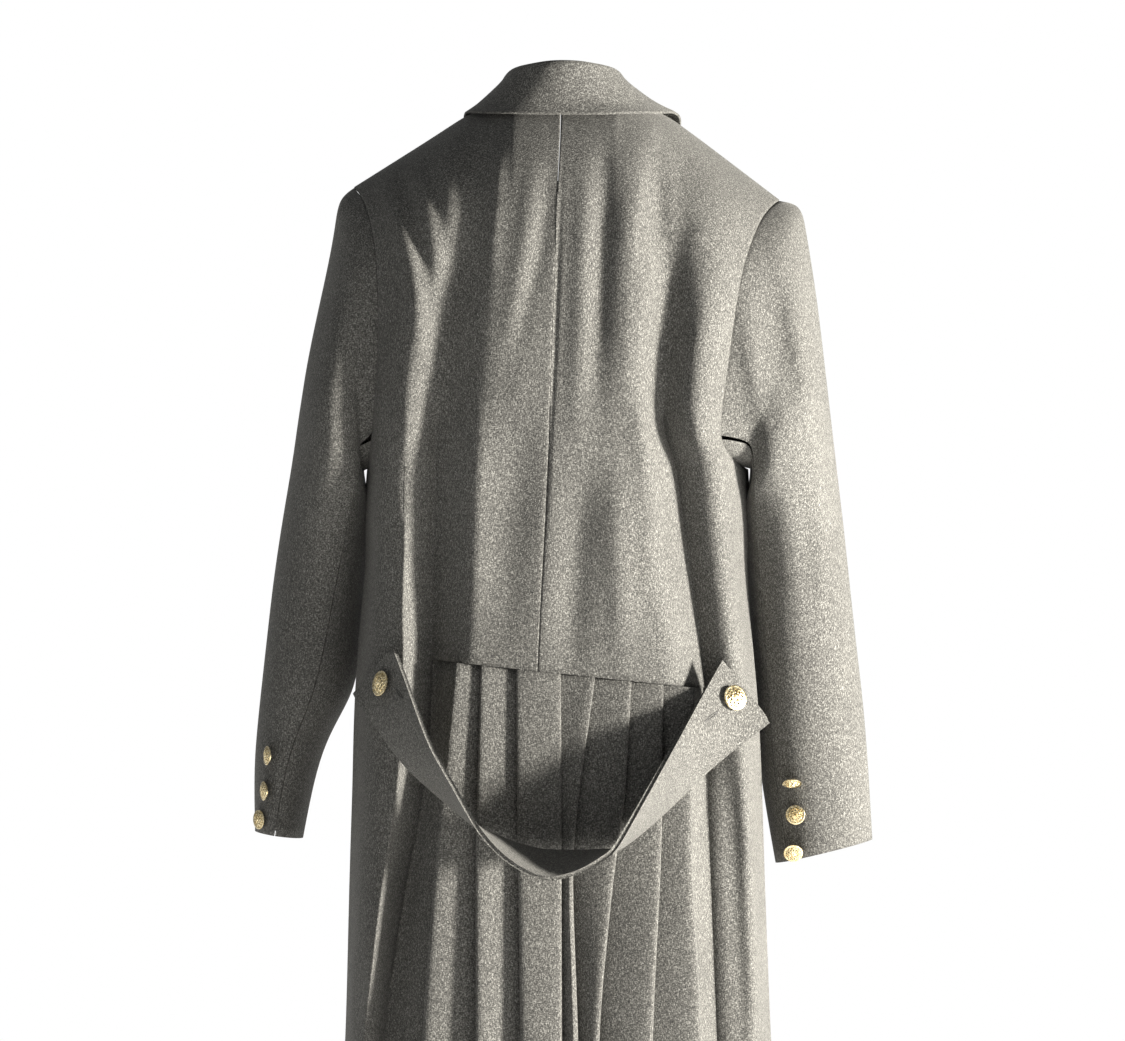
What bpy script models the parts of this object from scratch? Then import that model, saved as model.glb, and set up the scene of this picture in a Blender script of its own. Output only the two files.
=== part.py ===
"""Wool frock coat, empty and filled out as if worn: the upper back over a pleated skirt
insert, two fronts, two-piece sleeves, a turned-down collar, a loose back belt and shank
buttons. Metres, +X to the right as seen from behind, -Y out of the back, +Z up. The
origin is in the middle of the neck."""

import math

import bpy
import bmesh
import numpy as np
from mathutils import Quaternion, Vector

cloth = 0.0022  # one layer of wool
seam = 0.0004  # gap left at each seam
shoulder_round = 0.11  # height of the rounding over the shoulder
ridge_depth = 0.008  # Y of the shoulder seam
neck_half = 0.052
neck_back = 0.06
neck_front_turn = 76  # degrees over the shoulder to the throat
section_power = 2.4  # of the front's half section
back_power = 2.8  # of the back's flatter half section
waist_height = -0.554
waist_tilt = -0.105
overlap = 0.020  # of the right front over the left
pleat_back = 0.45  # part of a pleat's width that is folded under
large_button = 0.0121  # radii
small_button = 0.0092
belt_thick = 0.0042
button_across = 0.6  # place of a belt button between edge Q and edge P
shank = 0.0022  # length of a button's shank
collar_fall = 0.0042  # half the space between the collar's stand and its fall
underlap = 0.002  # of the pleated skirt's ends under the sides
under_step = 0.03  # width of the end pleats' hidden folds
closing_lift = cloth + 2 * seam  # of the right front over the left

# height, left side, right side, back depth, front depth
body_rows = [
    (0.02, -0.215, 0.215, 0.100, 0.105),
    (-0.10, -0.214, 0.216, 0.108, 0.112),
    (-0.20, -0.200, 0.198, 0.115, 0.124),
    (-0.30, -0.192, 0.182, 0.115, 0.125),
    (-0.36, -0.186, 0.172, 0.113, 0.120),
    (-0.45, -0.1895, 0.173, 0.108, 0.115),
    (-0.50, -0.1960, 0.177, 0.106, 0.114),
    (-0.58, -0.2025, 0.185, 0.108, 0.117),
    (-0.66, -0.2035, 0.189, 0.113, 0.123),
    (-0.74, -0.2065, 0.191, 0.118, 0.130),
    (-0.90, -0.2100, 0.197, 0.130, 0.145),
    (-1.05, -0.218, 0.205, 0.142, 0.157),
    (-1.20, -0.230, 0.217, 0.155, 0.170),
]

# height, X of the centre back seam
centre_rows = [(0.02, -0.001), (-0.10, -0.004), (-0.25, -0.0095), (-0.48, -0.022), (-0.56, -0.026)]

# distance from the centre, drop of the shoulder line
shoulder_left = [(0.0, 0.0), (0.052, 0.001), (0.066, 0.006), (0.0965, 0.0215), (0.126, 0.041), (0.203, 0.0895)]
shoulder_right = [(0.0, 0.0), (0.052, 0.001), (0.066, 0.006), (0.1, 0.022), (0.116, 0.033), (0.206, 0.1015)]

# height, X of the armhole at the back
armhole_left = [
    (-0.089, -0.2025), (-0.115, -0.189), (-0.163, -0.1796), (-0.213, -0.176), (-0.263, -0.1777),
    (-0.313, -0.1822), (-0.345, -0.1832), (-0.360, -0.186),
]
armhole_right = [
    (-0.101, 0.206), (-0.127, 0.190), (-0.156, 0.1786), (-0.188, 0.172), (-0.218, 0.1634),
    (-0.245, 0.157), (-0.298, 0.149), (-0.330, 0.147), (-0.350, 0.157), (-0.360, 0.172),
]

# height, then for three folds from the centre out: part of the width, depth; last, how far the
# panel outside them stands out
folds_left = [
    (0.01, 0.30, 0.0, 0.420, 0.007, 0.540, -0.001, 0.0),
    (-0.10, 0.30, 0.0, 0.482, 0.014, 0.640, -0.003, 0.0),
    (-0.25, 0.38, 0.0, 0.615, 0.020, 0.770, -0.006, 0.002),
    (-0.35, 0.41, 0.0, 0.641, 0.025, 0.800, -0.009, 0.003),
    (-0.48, 0.39, 0.0, 0.615, 0.030, 0.770, -0.010, 0.003),
    (-0.56, 0.41, 0.0, 0.566, 0.032, 0.710, -0.009, 0.002),
    (-0.68, 0.44, 0.002, 0.613, 0.034, 0.750, -0.008, 0.0),
    (-0.73, 0.50, 0.002, 0.678, 0.034, 0.800, -0.004, 0.0),
    (-0.90, 0.62, 0.002, 0.803, 0.036, 0.900, -0.003, 0.0),
    (-1.20, 0.62, 0.002, 0.800, 0.040, 0.900, -0.002, 0.0),
]
folds_right = [
    (0.01, 0.27, 0.0, 0.430, -0.002, 0.520, 0.008, 0.0),
    (-0.10, 0.30, 0.0, 0.450, -0.005, 0.565, 0.018, 0.010),
    (-0.25, 0.40, 0.0, 0.530, -0.005, 0.647, 0.026, 0.024),
    (-0.35, 0.40, 0.0, 0.512, -0.004, 0.642, 0.029, 0.025),
    (-0.48, 0.43, 0.0, 0.580, -0.003, 0.730, 0.034, 0.018),
    (-0.56, 0.45, 0.0, 0.630, 0.000, 0.762, 0.036, 0.012),
    (-0.68, 0.45, 0.0, 0.630, 0.000, 0.752, 0.036, 0.012),
    (-0.73, 0.45, 0.0, 0.630, 0.000, 0.757, 0.036, 0.012),
    (-0.90, 0.45, 0.0, 0.630, 0.000, 0.765, 0.038, 0.010),
    (-1.20, 0.45, 0.0, 0.630, 0.000, 0.750, 0.040, 0.006),
]

# height, space between the layers of a pleat, then X of each folded edge from left to right
pleat_rows = [
    (-0.50, 0.0034, -0.1035, -0.079, -0.0456, -0.0048, 0.0276, 0.0618, 0.0922, 0.1225),
    (-0.56, 0.0034, -0.1025, -0.079, -0.0456, -0.0048, 0.0276, 0.0618, 0.0922, 0.1225),
    (-0.68, 0.0050, -0.1160, -0.0825, -0.0447, -0.0038, 0.0105, 0.0560, 0.0912, 0.1190),
    (-0.73, 0.0060, -0.1216, -0.0840, -0.0437, -0.0038, 0.0057, 0.0466, 0.0903, 0.1190),
    (-0.90, 0.0085, -0.1350, -0.0836, -0.0418, -0.0029, 0.0124, 0.0300, 0.0817, 0.1292),
    (-1.20, 0.0105, -0.1440, -0.0860, -0.0430, -0.0040, 0.0180, 0.0400, 0.0800, 0.1320),
]
pleat_faces = (-1, -1, -1, 1, 1, 1, 1, 1)  # -1: the edge faces left

# outer X and Z, inner X and Z, half depth, Y of the middle
sleeve_left = [
    (-0.2025, -0.0893, -0.1860, -0.3600, 0.050, 0.000),
    (-0.2130, -0.1030, -0.1865, -0.3625, 0.058, 0.000),
    (-0.2185, -0.1330, -0.1868, -0.3660, 0.067, 0.000),
    (-0.2270, -0.1710, -0.1872, -0.3710, 0.073, 0.001),
    (-0.2375, -0.2140, -0.1880, -0.3780, 0.076, 0.002),
    (-0.2470, -0.2570, -0.1888, -0.3880, 0.078, 0.003),
    (-0.2550, -0.3040, -0.1895, -0.4020, 0.078, 0.012),
    (-0.2620, -0.3520, -0.1902, -0.4220, 0.077, 0.022),
    (-0.2715, -0.4040, -0.1905, -0.4500, 0.075, 0.031),
    (-0.2805, -0.4610, -0.1935, -0.4900, 0.072, 0.038),
    (-0.2875, -0.5230, -0.1965, -0.5380, 0.068, 0.043),
    (-0.2945, -0.5840, -0.2020, -0.5780, 0.064, 0.046),
    (-0.3005, -0.6460, -0.2350, -0.6250, 0.060, 0.048),
    (-0.2990, -0.7080, -0.2520, -0.7150, 0.057, 0.048),
]
sleeve_right = [
    (0.2060, -0.1015, 0.1720, -0.3600, 0.050, 0.000),
    (0.2165, -0.1075, 0.1728, -0.3625, 0.058, -0.001),
    (0.2260, -0.1330, 0.1730, -0.3660, 0.067, -0.002),
    (0.2350, -0.1710, 0.1732, -0.3710, 0.073, -0.003),
    (0.2425, -0.2140, 0.1735, -0.3780, 0.076, -0.004),
    (0.2480, -0.2570, 0.1738, -0.3880, 0.077, -0.005),
    (0.2545, -0.3040, 0.1740, -0.4020, 0.077, 0.006),
    (0.2605, -0.3520, 0.1742, -0.4220, 0.075, 0.018),
    (0.2670, -0.4040, 0.1738, -0.4500, 0.072, 0.028),
    (0.2735, -0.4610, 0.1755, -0.4900, 0.068, 0.035),
    (0.2800, -0.5230, 0.1785, -0.5380, 0.062, 0.040),
    (0.2878, -0.5840, 0.1820, -0.5920, 0.056, 0.043),
    (0.2926, -0.6460, 0.1860, -0.6500, 0.053, 0.044),
    (0.2965, -0.7160, 0.2020, -0.7390, 0.050, 0.044),
]

# edge P: X, Y, Z, edge Q: X, Y, Z, from the right end to the left end
belt_rows = [
    (0.1482, -0.0792, -0.5417, 0.1951, -0.0732, -0.6006),
    (0.1268, -0.1072, -0.5782, 0.1815, -0.0802, -0.6096),
    (0.1101, -0.1382, -0.6061, 0.1521, -0.0892, -0.6309),
    (0.0936, -0.1582, -0.6342, 0.1252, -0.0992, -0.6534),
    (0.0774, -0.1742, -0.6621, 0.1006, -0.1102, -0.6773),
    (0.0611, -0.1862, -0.6902, 0.0747, -0.1172, -0.7002),
    (0.0465, -0.1932, -0.7145, 0.0504, -0.1222, -0.7181),
    (0.0344, -0.1957, -0.7242, 0.0358, -0.1242, -0.7199),
    (0.0130, -0.1967, -0.7366, 0.0141, -0.1252, -0.7208),
    (-0.0138, -0.1967, -0.7430, -0.0137, -0.1262, -0.7205),
    (-0.0336, -0.1952, -0.7380, -0.0330, -0.1252, -0.7176),
    (-0.0537, -0.1932, -0.7257, -0.0509, -0.1232, -0.7120),
    (-0.0688, -0.1902, -0.7119, -0.0660, -0.1202, -0.7060),
    (-0.0836, -0.1862, -0.6934, -0.0831, -0.1162, -0.6982),
    (-0.1016, -0.1802, -0.6619, -0.1165, -0.1122, -0.6704),
    (-0.1152, -0.1752, -0.6385, -0.1392, -0.1112, -0.6505),
    (-0.1273, -0.1672, -0.6164, -0.1581, -0.1057, -0.6310),
    (-0.1428, -0.1432, -0.5767, -0.1842, -0.0862, -0.5956),
    (-0.1523, -0.1212, -0.5521, -0.1955, -0.0702, -0.5817),
    (-0.1617, -0.1072, -0.5278, -0.1999, -0.0572, -0.5741),
]

# X and Z on the cuff, then the way the button faces
cuff_buttons = {
    -1: [(-0.2800, -0.632, -0.92, -0.38, 0.05), (-0.2840, -0.665, -0.92, -0.38, 0.0),
         (-0.2905, -0.698, -0.80, -0.60, 0.0)],
    1: [(0.2185, -0.658, 0.0, -0.45, -0.89), (0.2204, -0.691, -0.1, -0.99, 0.0),
        (0.2214, -0.724, 0.0, -0.88, -0.47)],
}
front_button_heights = (-0.150, -0.265, -0.380, -0.495, -0.610)

# X and Z of the collar's lower edge, height of its roll, from the centre back to the front end
collar_rows = [
    (0.000, -0.0275, 0.0290), (0.022, -0.0275, 0.0285), (0.045, -0.0265, 0.0265),
    (0.066, -0.0255, 0.0250), (0.083, -0.0255, 0.0230), (0.093, -0.0245, 0.0195),
    (0.099, 0.0000, 0.0160), (0.100, -0.0360, 0.0080), (0.096, -0.0580, -0.0090),
    (0.088, -0.0850, -0.0310), (0.074, -0.1120, -0.0520), (0.052, -0.1380, -0.0660),
]
collar_spread = {-1: 0.98, 1: 1.12}
collar_clear = 0.0055
# the collar's roll: steps out from the neck and down from the top, in parts of collar_fall
collar_roll = [(0.0, 1.4), (0.3, 0.43), (1.0, 0.0), (1.75, 0.43), (2.15, 1.4)]
button_profile = [(0.17, 0.0), (0.17, 1.0), (0.80, 1.0), (1.0, 1.36), (1.0, 1.91), (0.90, 2.36), (0.60, 2.91)]
button_top = 3.23
button_clear = 0.0014  # between a cuff button's lowest rim and the cloth


def lookup(rows):
    """A function that reads a table's column at a height."""
    data = np.array(sorted(rows))
    return lambda at, column: float(np.interp(at, data[:, 0], data[:, column]))


body = lookup(body_rows)
centre = lookup(centre_rows)
drop = {-1: lookup(shoulder_left), 1: lookup(shoulder_right)}
armhole = {-1: lookup(armhole_left), 1: lookup(armhole_right)}
folds = {-1: lookup(folds_left), 1: lookup(folds_right)}
pleats = lookup(pleat_rows)


def smooth(t):
    t = np.clip(t, 0.0, 1.0)
    return t * t * (3 - 2 * t)


def ridge(x):
    """Height of the shoulder line."""
    return -drop[-1 if x < 0 else 1](abs(x), 1)


def depth_at(x, z, out):
    """How far the plain section reaches behind (out -1) or in front (out 1) of the middle."""
    left, right = body(z, 1), body(z, 2)
    across = (x - (left + right) / 2) / ((right - left) / 2)
    reach = body(z, 3 if out < 0 else 4)
    power = back_power if out < 0 else section_power
    return reach * max(1 - abs(across) ** power, 0.0) ** (1 / power)


def neck_turn(x, out):
    """Angle over the shoulder at which the neck cuts a column off."""
    inside = 1 - min(abs(x) / neck_half, 1.0) ** 2
    if out < 0:
        return math.asin(neck_back * math.sqrt(inside) / shoulder_round)
    return math.radians(neck_front_turn) * math.sqrt(inside)


turns = (0.0, 0.14, 0.3, 0.5, 0.75, 1.0)
edge_heights = (-0.245, -0.295, -0.330, -0.350, -0.360)
centre_heights = (-0.165, -0.225, -0.280, -0.325, -0.350)
low_heights = (-0.40, -0.45, -0.50, waist_height, -0.61, -0.67, -0.73, -0.81, -0.90, -1.0, -1.1, -1.2)
low_tilt = (0.0, 0.3, 0.7, 1.0, 0.7, 0.4, 0.2, 0.0, 0.0, 0.0, 0.0, 0.0)
waist_row = len(turns) + len(edge_heights) + 3
neck_steps = 6


def side_x(z, side):
    return body(z, 1 if side < 0 else 2)


def armhole_x(z, side, out):
    x = armhole[side](z, 1)
    if out > 0:
        x *= 1 - 0.10 * math.sin(math.pi * smooth((z + 0.36) / 0.27))
    return x


def row_edge(row, side, out):
    """X and Z of a row's end at the armhole or the side seam."""
    tip = ridge(0.2025 * side if side < 0 else 0.206)
    if row < len(turns):
        z = tip - shoulder_round * (1 - math.cos(math.pi / 2 * turns[row]))
        return armhole_x(z, side, out), z
    row -= len(turns)
    if row < len(edge_heights):
        z = edge_heights[row]
        return armhole_x(z, side, out), z
    row -= len(edge_heights)
    x = side_x(low_heights[row], side)
    z = low_heights[row] + waist_tilt * low_tilt[row] * x
    return side_x(z, side), z


def body_point(row, part, side, out, middle):
    """Point of the body at a row and at a part of the way from the middle to the side."""
    edge_x, edge_z = row_edge(row, side, out)
    x = middle + (edge_x - middle) * part
    turn = math.pi / 2
    if row < len(turns):
        first = neck_turn(x, out) if abs(x) < neck_half else 0.0
        turn = first + (math.pi / 2 - first) * turns[row]
        z = ridge(x) - shoulder_round * (1 - math.cos(turn))
    elif row < len(turns) + len(edge_heights):
        centre_z = centre_heights[row - len(turns)]
        z = centre_z + (edge_z - centre_z) * ridge(x) / ridge(edge_x)
    else:
        low = row - len(turns) - len(edge_heights)
        z = low_heights[low] + waist_tilt * low_tilt[low] * x
    y = ridge_depth * math.cos(turn) + out * depth_at(x, z, out) * math.sin(turn)
    return np.array((x, y, z)), math.sin(turn)


def back_parts(side, row):
    """Parts of the width at which the back has its columns, with the depth of the fold there."""
    edge_x, edge_z = row_edge(row, side, -1)
    level = min(edge_z + (0.09 if row < len(turns) else 0.0), 0.01)
    read = folds[side]
    marks = [(0.0, 0.0)] + [(read(level, 1 + 2 * n), read(level, 2 + 2 * n)) for n in range(3)] + [(1.0, 0.0)]
    middle = centre(level, 1)
    top = [(neck_half * math.sin(math.pi / 2 * n / neck_steps) - side * middle) / (side * (edge_x - middle))
           for n in range(neck_steps + 1)]
    near = [marks[1][0] * n / neck_steps for n in range(neck_steps + 1)]
    blend = smooth(row / (len(turns) + 2))
    parts = [(a * (1 - blend) + b * blend, 0.0) for a, b in zip(top, near)]
    parts[0] = (0.0, 0.0)
    start = parts[-1][0]
    rises = (0.0, 0.0, read(level, 7))
    for (a, deep_a), (b, deep_b), steps, rise in zip(marks[1:], marks[2:], (2, 2, 4), rises):
        a = max(a, start)
        b = max(b, start + 0.05)
        for n in range(1, steps + 1):
            t = n / steps
            deep = deep_a + (deep_b - deep_a) * smooth(t) - rise * math.sin(math.pi * t)
            parts.append((a + (b - a) * t, deep))
        start = b
    return parts


recess = {-1: neck_steps + 2, 1: neck_steps + 4}  # column at the bottom of the deep fold


def back_grid():
    """Outer points of the whole back, from the left edge to the right edge, by row."""
    rows = []
    for row in range(len(turns) + len(edge_heights) + len(low_heights)):
        middle = centre(row_edge(row, 1, -1)[1], 1)
        line = []
        for side in (-1, 1):
            half = []
            for part, deep in back_parts(side, row):
                point, lift = body_point(row, part, side, -1, middle)
                point[1] += deep * lift
                half.append(point)
            line += half[::-1] if side < 0 else half[1:]
        rows.append(line)
    return np.array(rows)


def front_grid(side):
    """Outer points of a front, from its edge in the middle to the side, by row."""
    start = -overlap * side
    rows = []
    for row in range(len(turns) + len(edge_heights) + len(low_heights)):
        edge_x, _ = row_edge(row, side, 1)
        neck = [neck_half * math.sin(math.pi / 2 * n / neck_steps) for n in range(neck_steps + 1)]
        rest = [neck_half + (abs(edge_x) - neck_half) * n / 6 for n in range(1, 7)]
        line = []
        for x in [start] + [side * v for v in neck + rest]:
            point, _ = body_point(row, x / edge_x, side, 1, 0.0)
            line.append(point)
        rows.append(line)
    return np.array(rows)


def grid_normals(grid, out):
    """Unit normals of a grid of points, all turned to the side that `out` points to on the whole."""
    across = np.gradient(grid, axis=1)
    down = np.gradient(grid, axis=0)
    normal = np.cross(across, down)
    size = np.linalg.norm(normal, axis=2, keepdims=True)
    normal = normal / np.maximum(size, 1e-12)
    return -normal if (normal * out(grid)).sum() < 0 else normal


def away_from_axis(grid):
    level = grid.copy()
    level[..., 2] = np.maximum(grid[..., 2] + 0.16, 0.0)
    return level


def add_object(name, points, faces, look):
    mesh = bpy.data.meshes.new(name)
    mesh.from_pydata([tuple(map(float, p)) for p in points], [], faces)
    shape = bmesh.new()
    shape.from_mesh(mesh)
    bmesh.ops.recalc_face_normals(shape, faces=shape.faces)
    if shape.calc_volume(signed=True) < 0:
        bmesh.ops.reverse_faces(shape, faces=shape.faces)
    shape.to_mesh(mesh)
    shape.free()
    for polygon in mesh.polygons:
        polygon.use_smooth = True
    thing = bpy.data.objects.new(name, mesh)
    bpy.context.scene.collection.objects.link(thing)
    thing.data.materials.append(look)
    return thing


def wall(name, outer, inner, look, keep=None, ring=False):
    """One closed wall between two grids of points. `keep` marks the cells that exist."""
    rows, columns = outer.shape[:2]
    last = columns if ring else columns - 1
    if keep is None:
        keep = np.ones((rows - 1, last), bool)
    numbers = {}
    points = []

    def number(layer, i, j):
        key = (layer, i, j % columns)
        if key not in numbers:
            numbers[key] = len(points)
            points.append((outer, inner)[layer][i, j % columns])
        return numbers[key]

    def kept(i, j):
        if ring:
            j %= columns
        return 0 <= i < rows - 1 and 0 <= j < last and keep[i, j]

    def halves(corners):
        # both faces of the wall are cut along the same diagonal, so that they stay parallel
        a, b, c, d = corners
        spots = [outer[i, j % columns] for i, j in corners]
        if math.dist(spots[0], spots[2]) <= math.dist(spots[1], spots[3]):
            return (a, b, c), (a, c, d)
        return (a, b, d), (b, c, d)

    faces = []
    for i in range(rows - 1):
        for j in range(last):
            if not keep[i, j]:
                continue
            corners = ((i, j), (i, j + 1), (i + 1, j + 1), (i + 1, j))
            for cell in halves(corners):
                faces.append([number(0, *c) for c in cell])
                faces.append([number(1, *c) for c in reversed(cell)])
            for (a, b), (ni, nj) in (
                ((0, 1), (i - 1, j)),
                ((1, 2), (i, j + 1)),
                ((2, 3), (i + 1, j)),
                ((3, 0), (i, j - 1)),
            ):
                if not kept(ni, nj):
                    first, second = corners[a], corners[b]
                    faces.append([number(0, *second), number(0, *first), number(1, *first), number(1, *second)])
    return add_object(name, points, faces, look)


def move_border(outer, inner, column, toward, distance):
    """Draw a border column back from a seam."""
    way = outer[:, toward] - outer[:, column]
    way /= np.linalg.norm(way, axis=1, keepdims=True)
    outer[:, column] += way * distance
    inner[:, column] += way * distance


def material(name, colour, roughness, metallic):
    look = bpy.data.materials.new(name)
    look.use_nodes = True
    shader = look.node_tree.nodes["Principled BSDF"]
    shader.inputs["Base Color"].default_value = (*colour, 1)
    shader.inputs["Roughness"].default_value = roughness
    shader.inputs["Metallic"].default_value = metallic
    look.diffuse_color = (*colour, 1)
    return look


for thing in list(bpy.data.objects):
    bpy.data.objects.remove(thing, do_unlink=True)

wool = material("wool", (0.15, 0.14, 0.12), 0.92, 0.0)
brass = material("brass", (0.70, 0.53, 0.24), 0.38, 1.0)

back = back_grid()
back_normal = grid_normals(back, away_from_axis)
fronts = {side: front_grid(side) for side in (-1, 1)}
front_normal = {side: grid_normals(fronts[side], away_from_axis) for side in (-1, 1)}
half = (back.shape[1] - 1) // 2
underarm_row = len(turns) + len(edge_heights) - 1


def share_side_normals():
    """Panels of a side seam and of a shoulder seam share normals, so that their edges stay parallel."""
    for side, column in ((-1, 0), (1, -1)):
        for row in range(underarm_row, back.shape[0]):
            shared = back_normal[row, column] + front_normal[side][row, -1]
            shared /= np.linalg.norm(shared)
            back_normal[row, column] = shared
            front_normal[side][row, -1] = shared
    for grid, normals in ((back, back_normal), (fronts[-1], front_normal[-1]), (fronts[1], front_normal[1])):
        for column in range(grid.shape[1]):
            x = grid[0, column, 0]
            if abs(x) < neck_half - 1e-6:
                continue
            step = 0.004
            slope = (ridge(x + step) - ridge(x - step)) / (2 * step)
            normals[0, column] = np.array((-slope, 0.0, 1.0)) / math.hypot(slope, 1.0)
    back_normal[:, half, 0] = 0.0
    back_normal[:, half] /= np.linalg.norm(back_normal[:, half], axis=1, keepdims=True)


share_side_normals()
panels = {}
for side, name in ((-1, "left"), (1, "right")):
    columns = slice(0, half + 1) if side < 0 else slice(half, back.shape[1])
    outer = back[:, columns].copy()
    inner = outer - back_normal[:, columns] * cloth
    if side < 0:
        outer, inner = outer[:, ::-1].copy(), inner[:, ::-1].copy()
    move_border(outer, inner, 0, 1, seam / 2)
    keep = np.ones((outer.shape[0] - 1, outer.shape[1] - 1), bool)
    keep[waist_row:, :recess[side]] = False
    low = slice(underarm_row, None)
    move_border(outer[low], inner[low], -1, -2, seam / 2)
    panels["back", side] = (outer, inner)
    wall("back_" + name, outer, inner, wool, keep)

    outer = fronts[side].copy()
    if side > 0:
        for column in range(outer.shape[1]):
            lift = closing_lift * (1 - smooth((outer[:, column, 0] - overlap - 0.003) / 0.018))
            outer[:, column] += front_normal[side][:, column] * lift[:, None]
    inner = outer - front_normal[side] * cloth
    move_border(outer[low], inner[low], -1, -2, seam / 2)
    for layer in (outer, inner):
        layer[0, neck_steps + 1:, 1] += seam
    panels["front", side] = (outer, inner)
    wall("front_" + name, outer, inner, wool)


ring_blend = (1.0, 0.62, 0.36, 0.2, 0.1, 0.04)
elbow_column = 8
armhole_gap = 4.0  # how much wider a sleeve's seam is at the armhole, in parts of seam
armhole_fade = 0.35  # and how fast that fades from ring to ring
forearm_column = 14
elbow_end = {-1: 84, 1: 137}  # degrees round the cuff from its outer edge, by the back
forearm_end = 250


def sleeve_grid(side):
    """Outer and inner points of a sleeve, by ring. The first ring follows the armhole."""
    loops = []
    for layer in (0, 1):
        behind = panels["back", side][layer][:underarm_row + 1]
        before = panels["front", side][layer][:underarm_row + 1]
        loops.append(np.concatenate([behind[:, -1], before[-2:0:-1, -1]]))
        if layer == 0:
            way = np.concatenate([behind[:, -1] - behind[:, -2], (before[:, -1] - before[:, -2])[-2:0:-1]])
    loop, loop_in = loops
    way /= np.linalg.norm(way, axis=1, keepdims=True)
    top, low = loop[0, 2], loop[underarm_row, 2]
    tilt = np.clip((loop[:, 2] - (top + low) / 2) / ((top - low) / 2), -1, 1)
    start = np.degrees(np.arccos(tilt))
    start[underarm_row + 1:] = 360 - start[underarm_row + 1:]
    rows = sleeve_left if side < 0 else sleeve_right
    rings = []
    for n, (out_x, out_z, in_x, in_z, deep, middle_y) in enumerate(rows):
        along = max(0.0, (n - 3) / (len(rows) - 4)) ** 1.3
        first = start[elbow_column]
        second = start[forearm_column]
        angles = np.interp(
            start,
            (0, first, second, 360),
            (0, first + (elbow_end[side] - first) * along, second + (forearm_end - second) * along, 360),
        )
        outside = np.array((out_x, middle_y, out_z))
        inside = np.array((in_x, middle_y, in_z))
        middle, arm = (outside + inside) / 2, (outside - inside) / 2
        a = np.radians(angles)[:, None]
        ring = middle + np.cos(a) * arm + np.sin(a) * np.array((0.0, -deep, 0.0))
        if n == 0:
            ring = loop
        elif n < len(ring_blend):
            shape = loop - loop.mean(axis=0) + ring.mean(axis=0)
            ring = ring * (1 - ring_blend[n]) + shape * ring_blend[n]
        rings.append(ring)
    outer = np.array(rings)
    padded = np.concatenate([outer[:, -1:], outer, outer[:, :1]], axis=1)
    normal = grid_normals(padded, lambda g: g - g.mean(axis=1, keepdims=True))[:, 1:-1]
    wall_way = (loop - loop_in) / cloth
    follow = smooth(((wall_way * normal[0]).sum(axis=1) - 0.1) / 0.5)[:, None]
    normal[0] = wall_way * follow + normal[0] * (1 - follow)
    normal[0] /= np.linalg.norm(normal[0], axis=1, keepdims=True)
    outer[0] += way * seam * follow + np.array((side * 0.0008, 0.0, 0.0)) * (1 - follow)
    inner = outer - normal * cloth
    return outer, inner


sleeves = {}
for side, name in ((-1, "left"), (1, "right")):
    outer, inner = sleeve_grid(side)
    sleeves[side] = outer
    count = outer.shape[1]
    for kind, columns in (
        ("topsleeve_", [c % count for c in range(forearm_column, count + elbow_column + 1)]),
        ("undersleeve_", list(range(elbow_column, forearm_column + 1))),
    ):
        piece, lining = outer[:, columns].copy(), inner[:, columns].copy()
        space = seam * (1 + armhole_gap * np.exp(-armhole_fade * np.arange(len(piece))))[:, None]
        move_border(piece, lining, 0, 1, space)
        move_border(piece, lining, -1, -2, space)
        wall(kind + name, piece, lining, wool)


def arc(centre_x, centre_deep, radius, start, end, steps=3):
    """Points on a round turn, in X and depth. Angles are in degrees."""
    return [
        (centre_x + radius * math.cos(math.radians(a)), centre_deep + radius * math.sin(math.radians(a)))
        for a in np.linspace(start, end, steps + 1)
    ]


def pleat_path(z, left, right):
    """Middle of the cloth across the pleats, in X and depth, between the two recesses."""
    space = pleats(z, 1)
    edges = [pleats(z, 2 + n) for n in range(len(pleat_faces))]
    round_off = space / 2
    path = list(left)
    for n, (x, face) in enumerate(zip(edges, pleat_faces)):
        other = edges[n - face] if 0 <= n - face < len(edges) else x - under_step * face
        width = abs(x - other)
        partner = pleat_faces[n - face] if 0 <= n - face < len(edges) else face
        slope = 0.0 if partner != face else 2 * space / width
        back_x = x - face * pleat_back * width
        deep = slope * pleat_back * width
        top = cloth / 2
        edge_turn = arc(x - face * round_off, top + round_off, round_off, -90, 90 if face > 0 else -270)
        back_turn = arc(back_x, top + 3 * round_off + deep, round_off, -90, -270 if face > 0 else 90)
        fold = edge_turn + back_turn + [(x - face * round_off, top + 2 * space)]
        path += fold if face > 0 else fold[::-1]
    return path + list(right)


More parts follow.
